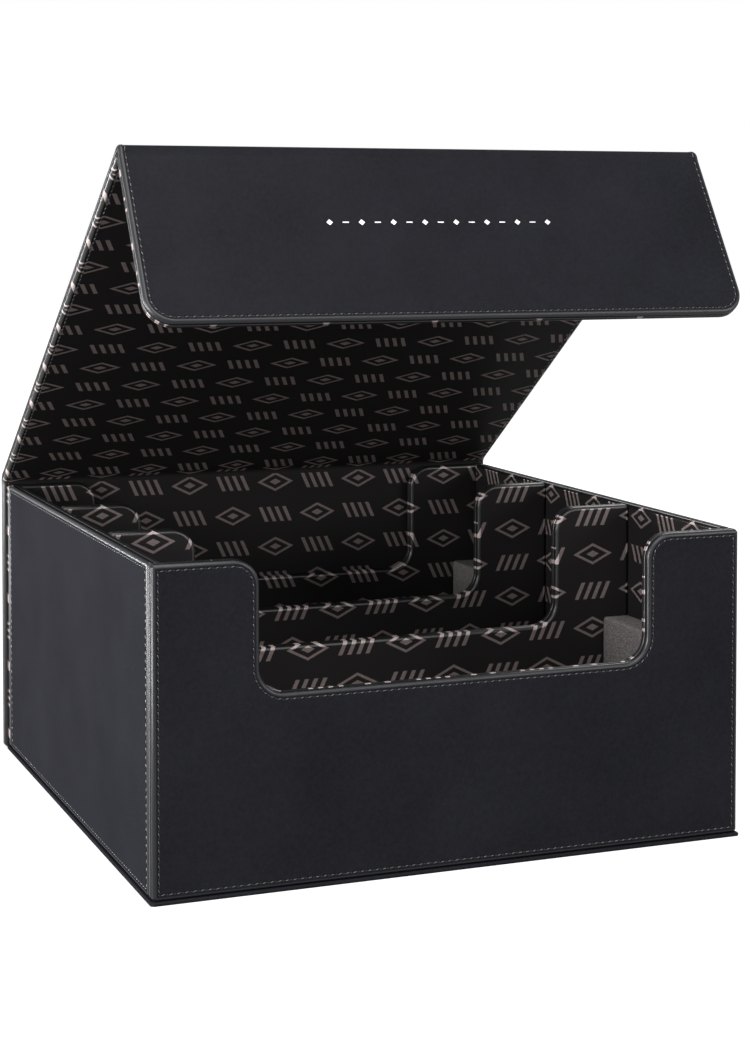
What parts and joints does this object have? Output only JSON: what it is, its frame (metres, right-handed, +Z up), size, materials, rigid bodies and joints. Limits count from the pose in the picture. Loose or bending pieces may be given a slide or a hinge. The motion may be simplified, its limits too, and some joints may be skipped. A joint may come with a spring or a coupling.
{
  "type": "trading card storage box",
  "caption": "Leatherette-clad board box with three card rows, U-shaped finger cuts and a wrap-over hinged lid with a magnetic front flap.",
  "frame": {"origin": "on the table, at the middle of the box's footprint", "axes": "+Z up, +X to the right as seen from the front, +Y to the back, where the lid hinges"},
  "size_m": [0.294, 0.3063, 0.3287],
  "materials": {
    "leatherette": "satin",
    "lining": "satin",
    "board": "matte",
    "magnet": "satin",
    "foam": "matte"
  },
  "bodies": {
    "box": {"bottom_cover": "leatherette", "base_board": "board", "floor_lining": "lining", "front_wall_board": "board", "front_wall_skin": "leatherette", "front_wall_lining": "lining", "wall_magnets": "magnet", "left_wall_board": "board", "left_wall_skin": "leatherette", "left_wall_lining": "lining", "right_wall_board": "board", "right_wall_skin": "leatherette", "right_wall_lining": "lining", "back_wall_board": "board", "back_wall_facing": "lining", "back_wall_lining": "lining", "front_divider_board": "board", "front_divider_front_lining": "lining", "front_divider_rear_lining": "lining", "rear_divider_board": "board", "rear_divider_front_lining": "lining", "rear_divider_rear_lining": "lining", "cover_back_board": "board", "cover_back_skin": "leatherette", "cover_back_lining": "lining"},
    "lid": {"lid_board": "board", "lid_skin": "leatherette", "lid_lining": "lining", "rear_crease_skin": "leatherette", "rear_crease_lining": "lining"},
    "flap": {"flap_board": "board", "flap_skin": "leatherette", "flap_lining": "lining", "flap_magnets": "magnet", "front_crease_skin": "leatherette", "front_crease_lining": "lining"},
    "front_spacer": {"front_spacer": "foam"},
    "rear_spacer": {"rear_spacer": "foam"}
  },
  "joints": [
    {"name": "lid_hinge", "type": "hinge", "parent": "box", "child": "lid", "pos_m": [0, 0.152, 0.1513], "axis": [-1, 0, 0], "range_deg": [-34.6, 145.4], "deforming": ["rear_crease_skin", "rear_crease_lining"]},
    {"name": "flap_hinge", "type": "hinge", "parent": "lid", "child": "flap", "pos_m": [0, -0.10177, 0.32637], "axis": [-1, 0, 0], "range_deg": [0, 92], "deforming": ["front_crease_skin", "front_crease_lining"]},
    {"name": "front_spacer_slide", "type": "slide", "parent": "box", "child": "front_spacer", "axis": [-1, 0, 0], "range_m": [0, 0.2604]},
    {"name": "rear_spacer_slide", "type": "slide", "parent": "box", "child": "rear_spacer", "axis": [-1, 0, 0], "range_m": [0, 0.2604]}
  ]
}
